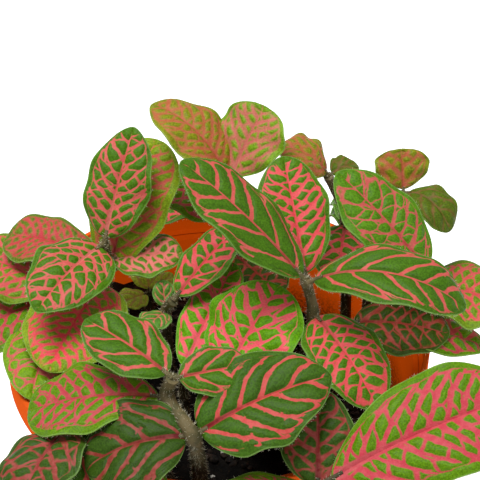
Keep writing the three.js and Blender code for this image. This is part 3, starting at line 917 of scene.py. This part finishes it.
def blade(leaf, node, index):
    """A blade and its margins: a fine grid laid along its midrib, with its vein map, then made thick."""
    length, width, finish = leaf[2], leaf[3], LOOKS[leaf[7]]
    rows = max(LEAST_ROWS, round(length / CELL))
    columns = 2 * max(LEAST_COLUMNS, round(width / CELL / 2))
    deselect()
    bpy.ops.mesh.primitive_grid_add(x_subdivisions=columns, y_subdivisions=rows, size=2)
    piece = bpy.context.object
    mesh = piece.data
    flat = np.empty(len(mesh.vertices) * 3)
    mesh.vertices.foreach_get("co", flat)
    flat = flat.reshape(-1, 3)

    # v runs across the blade from -1 to 1 and s along it from 0 to 1, with finer rows at both ends
    v = flat[:, 0]
    share = np.clip((flat[:, 1] + 1) / 2, 0, 1)
    s = (1 - END_EASE) * share + END_EASE * (1 - np.cos(np.pi * share)) / 2
    t = np.abs(v)

    chance = random.Random(index + 1)
    phase, waver = chance.random(), chance.uniform(*MARGIN_WAVER)
    shares, places = midrib(node, leaf)
    centre = np.stack([np.interp(s, shares, places[:, k]) for k in range(3)], axis=1)
    _, side, up = leaf_axes(leaf, s)
    half = half_width(leaf, s)
    turned = 2 * np.pi * (MARGIN_WAVES * s + phase + MARGIN_SIDES * (v > 0))
    half = half * (1 + waver * np.sin(turned) * np.sin(np.pi * s))

    # Side veins run out and forward; a row is counted from each of them to the next
    pairs = max(LEAST_PAIRS, round(length / finish["spacing"]))
    slope, curl = STRAIGHT if finish["reach"] > LONG_REACH else ARCHED
    start = s - half / length * (slope * t + curl * t**3)
    start = np.where(start < 0, start * BASE_ROWS, start)
    turned = 2 * np.pi * (UNEVEN_WAVES * s + phase)
    row = pairs * (start + UNEVEN * np.sin(turned)) + phase
    gap = length / pairs / (1 + UNEVEN * 2 * np.pi * UNEVEN_WAVES * np.cos(turned))
    gap = gap / np.sqrt(1 + (slope + 3 * curl * t**2) ** 2)

    # The blade is folded, arched, rippled along its margins, quilted between its veins and grooved
    wave = np.sin(2 * np.pi * RIPPLES * s + index * RIPPLE_TURN + np.where(v > 0, RIPPLE_SIDES, 0))
    lift = half * (FOLD * t - ARCH * t**2 + RIPPLE * t**2 * wave)
    fade = np.clip((1 - t) * QUILT_FADE, 0, 1) * np.clip(t * half / QUILT_START, 0, 1)
    quilt = 0.5 - 0.5 * np.cos(2 * np.pi * (row + np.where(v > 0, SIDE_SHIFT, 0)))
    lift += QUILT * quilt * fade * np.sin(np.pi * s)
    lift -= GROOVE * np.exp(-((t * half / GROOVE_WIDTH) ** 2)) * (1 - GROOVE_TAPER * s)
    points = centre + side * (half * v)[:, None] + up * lift[:, None]
    mesh.vertices.foreach_set("co", (points * MM).ravel())
    # Every few points of both margins, for the fringe
    margins = []
    for edge in (v < -0.999, v > 0.999):
        line = points[edge][np.argsort(s[edge])][::FRINGE_STEP]
        margins.append(([Vector(place) for place in line], [BLADE_THICKNESS / 2] * len(line)))

    corners = np.empty(len(mesh.loops), dtype=np.int32)
    mesh.loops.foreach_get("vertex_index", corners)
    starts = np.empty(len(mesh.polygons), dtype=np.int32)
    mesh.polygons.foreach_get("loop_start", starts)
    # Each half of each blade counts its rows from a number of its own
    right = np.repeat(np.add.reduceat(v[corners], starts) > 0, 4)
    seed = ROW_SEEDS * (index + 1)
    rows_at = row[corners] + np.where(right, seed + SIDE_SHIFT, -seed)
    mesh.uv_layers[0].name = "Veins"
    mesh.uv_layers["Veins"].data.foreach_set("uv", np.stack([rows_at, t[corners]], axis=1).ravel())
    size = mesh.attributes.new("leaf_size", "FLOAT_VECTOR", "POINT")
    size.data.foreach_set("vector", np.stack([gap, half, s], axis=1).ravel())
    for material in (FACES[leaf[7]], BACKS[leaf[7]]):
        mesh.materials.append(material)
    apply_modifier(piece, "SOLIDIFY", thickness=BLADE_THICKNESS * MM, offset=0, material_offset=1)
    smooth(piece, 50)
    return piece, margins


def rounded_path(centres, step):
    """Points at about the given step on a smooth curve through the centres, with their share of the way."""
    points = [Vector(centre) for centre in centres]
    ends = [2 * points[0] - points[1], *points, 2 * points[-1] - points[-2]]
    path, shares = [], []
    for i in range(1, len(points)):
        before, a, b, after = ends[i - 1 : i + 3]
        limit = (b - a).length
        pieces = max(2, round(limit / step))
        slope_a = (b - before) * 0.5
        slope_b = (after - a) * 0.5
        slope_a = slope_a.normalized() * min(slope_a.length, limit)
        slope_b = slope_b.normalized() * min(slope_b.length, limit)
        for k in range(pieces + (i == len(points) - 1)):
            f = k / pieces
            place = (2 * f**3 - 3 * f**2 + 1) * a + (f**3 - 2 * f**2 + f) * slope_a
            place += (-2 * f**3 + 3 * f**2) * b + (f**3 - f**2) * slope_b
            path.append(place)
            shares.append((i - 1 + f) / (len(points) - 1))
    return path, shares


def rod(name, path, radii, material):
    """A round tube along a path, made from a curve."""
    curve = bpy.data.curves.new(name, "CURVE")
    curve.dimensions = "3D"
    curve.bevel_depth = MM
    curve.bevel_resolution = 2
    curve.use_fill_caps = True
    spline = curve.splines.new("POLY")
    spline.points.add(len(path) - 1)
    for point, place, radius in zip(spline.points, path, radii):
        point.co = (*(place * MM), 1)
        point.radius = radius
    made = add_object(name, curve)
    select(made)
    bpy.ops.object.convert(target="MESH")
    made.data.materials.append(material)
    smooth(made, 60)
    return made


def hairs(paths, per_mm, reach, thickness, chance, material):
    """Short pointed hairs that stand out all round the paths."""
    points, faces = [], []
    for path, radii in paths:
        for a, b, radius in zip(path, path[1:], radii):
            along = (b - a).normalized()
            across = along.orthogonal().normalized()
            for _ in range(round((b - a).length * per_mm * chance.uniform(*HAIR_SPREAD))):
                out = Matrix.Rotation(chance.uniform(0, 2 * math.pi), 3, along) @ across
                foot = a.lerp(b, chance.random()) + out * radius * HAIR_FOOT
                lean = along * chance.uniform(*HAIR_LEAN)
                tip = foot + (out + lean).normalized() * chance.uniform(*reach)
                wide = along.cross(out)
                first = len(points)
                for k in range(HAIR_SIDES):
                    angle = 2 * math.pi * k / HAIR_SIDES
                    corner = wide * math.cos(angle) + along * math.sin(angle)
                    points.append((foot + corner * thickness) * MM)
                    faces.append((first + k, first + (k + 1) % HAIR_SIDES, first + HAIR_SIDES))
                points.append(tip * MM)
                faces.append(tuple(range(first + HAIR_SIDES - 1, first - 1, -1)))
    return mesh_object("hairs", points, faces, material)


# Soil


def soil_height(x, y):
    """The height of the soil, which is uneven and lies lower at the back right."""
    share = min(max((x + y) / SOIL_FALL_REACH, 0), 1)
    fall = SOIL_FALL * share * share * (3 - 2 * share)
    a, b, c = SOIL_WAVES
    lumps = math.sin(a * x + 1.3) * math.cos(b * y) + 0.5 * math.sin(c * (x - y))
    return SOIL_TOP - fall + SOIL_LUMP * lumps


def crumbly_height(x, y):
    height = soil_height(x, y)
    for waves, shift, lump in LUMPS:
        height += noise.noise(Vector((x, y, 0)) * waves + Vector(shift)) * lump
    return height


def wall_radius(z):
    """The radius of the pot's outer wall below its band."""
    return BASE_RADIUS + WALL_SLOPE * z


def make_soil(material):
    """A closed plug: a disc raised to the soil's height, whose top is inset into rings and made lumpy."""
    deselect()
    bpy.ops.mesh.primitive_circle_add(
        vertices=SOIL_SIDES, radius=1, fill_type="NGON", location=(0, 0, 0), calc_uvs=False
    )
    piece = bpy.context.object
    edit(piece)
    bpy.ops.mesh.extrude_region_move(TRANSFORM_OT_translate={"value": (0, 0, 1)})
    for ring in range(SOIL_RINGS, 1, -1):
        bpy.ops.mesh.inset(thickness=0, depth=0)
        bpy.ops.transform.resize(value=((ring - 1) / ring, (ring - 1) / ring, 1))
    bpy.ops.mesh.poke()
    bpy.ops.object.mode_set(mode="OBJECT")
    for vertex in piece.data.vertices:
        x, y, top = vertex.co
        z = crumbly_height(x * SOIL_RADIUS, y * SOIL_RADIUS) if top > 0.5 else FLOOR + SOIL_GAP
        reach = wall_radius(z) - WALL - SOIL_GAP
        vertex.co = (x * reach * MM, y * reach * MM, z * MM)
    edit(piece)
    bpy.ops.mesh.normals_make_consistent(inside=False)
    bpy.ops.object.mode_set(mode="OBJECT")
    smooth(piece, 60)
    piece.data.materials.append(material)
    return join("potting_soil", [piece])


def scatter(name, material, count, sizes, flatness, seed):
    """Rough grains that lie on the soil, clear of the stems and of the pot."""
    chance = random.Random(seed)
    deselect()
    bpy.ops.mesh.primitive_ico_sphere_add(subdivisions=1, radius=1, calc_uvs=False)
    pattern = bpy.context.object
    corners = [vertex.co.copy() for vertex in pattern.data.vertices]
    sides = [tuple(face.vertices) for face in pattern.data.polygons]
    bpy.data.objects.remove(pattern)

    # The plug's lumps are laid out on a slightly different radius, so a grain's place is scaled to it
    spread = SOIL_RADIUS / (wall_radius(SOIL_TOP) - WALL - SOIL_GAP)
    room = wall_radius(SOIL_TOP - SOIL_FALL) - WALL
    points, faces = [], []
    while len(faces) < count * len(sides):
        radius = chance.uniform(*sizes) * chance.uniform(*SIZE_SPREAD)
        around = chance.uniform(0, 2 * math.pi)
        reach = math.sqrt(chance.random()) * (room - WALL_CLEARANCE * radius)
        x, y = reach * math.cos(around), reach * math.sin(around)
        if any(math.dist((x, y), shoot["root"]) < STEM_CLEARANCE + radius for shoot in SHOOTS):
            continue
        ground = crumbly_height(x * spread, y * spread)
        turn = Matrix.Rotation(chance.uniform(0, 6.28), 3, "Z")
        turn = turn @ Matrix.Rotation(chance.uniform(-GRAIN_TILT, GRAIN_TILT), 3, "X")
        long, wide, high = [chance.uniform(*span) for span in STRETCHES]
        first = len(points)
        for corner in corners:
            a, b, c = corner * chance.uniform(*ROUGHNESS_SPREAD)
            place = turn @ Vector((a * long, b * wide, c * flatness * high)) * radius
            points.append((place + Vector((x, y, ground + radius * GRAIN_SINK))) * MM)
        faces += [tuple(first + k for k in side) for side in sides]
    piece = mesh_object(name, points, faces, material)
    smooth(piece, 50)
    return piece


# Pot


def arc(x, z, radius, start, end, steps=5):
    """Points of a round in the pot's profile, between two angles in degrees."""
    angles = [math.radians(start + (end - start) * k / steps) for k in range(steps + 1)]
    return [(x + radius * math.cos(angle), z + radius * math.sin(angle)) for angle in angles]


def make_pot(material):
    """The pot's wall profile spun round the axis, with the drainage holes cut through its floor."""
    inner = wall_radius(FLOOR) - WALL
    profile = [
        (0, 0),
        *arc(BASE_RADIUS - FOOT_INSET, FOOT_ROUND, FOOT_ROUND, -90, -8),
        (wall_radius(BAND), BAND),
        *arc(RIM_RADIUS - RIM_DRAFT - BAND_ROUND, BAND + BAND_ROUND, BAND_ROUND, -90, 0, 3),
        *arc(RIM_RADIUS - LIP_ROUND, POT_HEIGHT - LIP_ROUND, LIP_ROUND, 0, 90),
        *arc(RIM_RADIUS - WALL + INNER_ROUND, POT_HEIGHT - INNER_ROUND, INNER_ROUND, 90, 180, 3),
        (RIM_RADIUS - WALL, BAND + BAND_SLOPE),
        (wall_radius(BAND) - WALL, BAND - BAND_STEP),
        (inner + CORNER_BULGE, FLOOR + CORNER_RISE),
        (inner - CORNER_REACH, FLOOR),
        (0, FLOOR),
    ]
    points = [(radius * MM, 0, z * MM) for radius, z in profile]
    mesh = bpy.data.meshes.new("plastic_pot")
    mesh.from_pydata(points, [(i, i + 1) for i in range(len(points) - 1)], [])
    piece = add_object("plastic_pot", mesh)
    edit(piece)
    bpy.ops.mesh.spin(steps=POT_STEPS, angle=2 * math.pi, center=(0, 0, 0), axis=(0, 0, 1))
    bpy.ops.mesh.select_all(action="SELECT")
    bpy.ops.mesh.remove_doubles(threshold=1e-6)
    bpy.ops.mesh.dissolve_degenerate(threshold=1e-7)
    bpy.ops.mesh.normals_make_consistent(inside=False)
    bpy.ops.object.mode_set(mode="OBJECT")
    for i in range(DRAIN_COUNT):
        angle = 2 * math.pi * i / DRAIN_COUNT
        place = (DRAIN_CIRCLE * math.cos(angle) * MM, DRAIN_CIRCLE * math.sin(angle) * MM, 0)
        deselect()
        bpy.ops.mesh.primitive_cylinder_add(
            vertices=DRAIN_SIDES, radius=DRAIN_RADIUS * MM, depth=DRAIN_DEPTH * MM, location=place
        )
        cutter = bpy.context.object
        apply_modifier(piece, "BOOLEAN", operation="DIFFERENCE", object=cutter, solver="EXACT")
        bpy.data.objects.remove(cutter)
    smooth(piece, 32)
    piece.data.materials.clear()
    piece.data.materials.append(material)
    return piece


STEM = stem_material()
HAIR = grainy_material("stem_hairs", 0.5, 2.0, ((200, 192, 160), (226, 222, 200)), roughness=0.7)
FACES = {name: leaf_material("leaf_" + name, finish) for name, finish in LOOKS.items()}
BACKS = {name: leaf_material("leaf_back_" + name, finish, True) for name, finish in LOOKS.items()}


def stem_centres(shoot):
    x, y = shoot["root"]
    surface = soil_height(x, y)
    nodes = [at for at, _ in shoot["nodes"]]
    return [(x, y, surface - ROOT_DEPTH), (x, y, surface + STEM_RISE), *shoot.get("bends", []), *nodes]


def make_shoot(shoot, first_leaf):
    """One rooted shoot, joined from its stem, stalks, blades and hairs."""
    stout = shoot.get("stout", 1)
    path, shares = rounded_path(stem_centres(shoot), STEM_STEP)
    radii = [stout * (STEM_FOOT_RADIUS + (STEM_TIP_RADIUS - STEM_FOOT_RADIUS) * share) for share in shares]
    for at, _ in shoot["nodes"]:
        for i, place in enumerate(path):
            near = math.exp(-(((place - Vector(at)).length / NODE_SPAN) ** 2))
            radii[i] *= 1 + (NODE_SWELL - 1) * near
    pieces = [rod("stem", path, radii, STEM)]
    hairy, fringe = [(path[BURIED_STEPS:], radii[BURIED_STEPS:])], []
    index = first_leaf
    for at, leaves in shoot["nodes"]:
        for leaf in leaves:
            places = midrib(at, leaf)[1]
            inside = places[round(RIB_STEPS * STALK_END)]
            radius = STALK_RADIUS * min(1, leaf[2] / FULL_LEAF)
            line, parts = rounded_path([at, places[0], inside], STALK_STEP)
            stalk_radii = [radius * (1 + (STALK_TAPER - 1) * part) for part in parts]
            pieces.append(rod("stalk", line, stalk_radii, STEM))
            hairy.append((line, stalk_radii))
            piece, margins = blade(leaf, at, index)
            pieces.append(piece)
            fringe += margins
            index += 1
    chance = random.Random(first_leaf + HAIR_SEED)
    pieces.append(hairs(hairy, HAIRS_PER_MM, HAIR_LENGTH, HAIR_RADIUS, chance, HAIR))
    pieces.append(hairs(fringe, FRINGE_PER_MM, FRINGE_LENGTH, FRINGE_RADIUS, chance, HAIR))
    piece = join("leafy_" + shoot["solid"], pieces)
    keep(piece, [shoot["solid"]])
    return index


leaf_count = 0
for shoot in SHOOTS:
    leaf_count = make_shoot(shoot, leaf_count)

PEAT = grainy_material(
    "dark_peat", 0.35, 1.3, ((8, 7, 6), (22, 18, 15)), roughness=(0.7, 0.95),
    speck=(0.5, (64, 50, 38)), specular=0.1, relief=0.6,
)
PEAT_CRUMBS = grainy_material(
    "peat_crumbs", 0.5, 2.2, ((18, 14, 12), (48, 36, 27)), roughness=(0.75, 0.95), specular=0.25, relief=0.4
)
WHITE_GRAINS = grainy_material(
    "white_grains", 0.8, 2.4, ((206, 200, 188), (236, 233, 226)), roughness=0.85,
    speck=(0.4, (150, 138, 120)), relief=0.5,
)
keep(make_pot(pot_material()), ["pot"])
keep(make_soil(PEAT), ["soil"])
keep(scatter("soil_crumbs", PEAT_CRUMBS, **CRUMBS), [])
keep(scatter("white_grit", WHITE_GRAINS, **GRIT), [])

# Floor, light and camera
deselect()
bpy.ops.mesh.primitive_plane_add(size=GROUND_SIZE, location=(0, 0, 0))
ground = bpy.context.object
ground.name = "floor"
paint, w, shader = new_material("pale_floor")
clouds = w.noise(w.place(), 0.01, 2.0)[0]
w.put(w.mix(clouds, (0.96, 0.96, 0.96, 1), (0.98, 0.98, 0.98, 1)), shader["Base Color"])
shader["Roughness"].default_value = 0.9
shader["Emission Color"].default_value = (1, 1, 1, 1)
shader["Emission Strength"].default_value = GROUND_GLOW
ground.data.materials.append(paint)

for name, place, size, power in LIGHTS:
    data = bpy.data.lights.new(name, "AREA")
    data.shape = "DISK"
    data.size = size
    data.energy = power
    light = add_object(name, data)
    light.location = place
    light.rotation_euler = (Vector(LIGHT_TARGET) - Vector(place)).to_track_quat("-Z", "Y").to_euler()

world = bpy.data.worlds.new("studio")
world.use_nodes = True
background = next(node for node in world.node_tree.nodes if node.type == "BACKGROUND")
background.inputs["Color"].default_value = (1, 1, 1, 1)
background.inputs["Strength"].default_value = WORLD_LIGHT
bpy.context.scene.world = world
bpy.context.scene.view_settings.view_transform = "Standard"

camera_data = bpy.data.cameras.new("camera")
camera_data.lens = CAMERA_LENS
camera_data.sensor_width = CAMERA_SENSOR
camera = add_object("camera", camera_data)
camera.location = CAMERA_PLACE
camera.rotation_euler = (math.radians(CAMERA_TILT), 0, 0)
bpy.context.scene.camera = camera
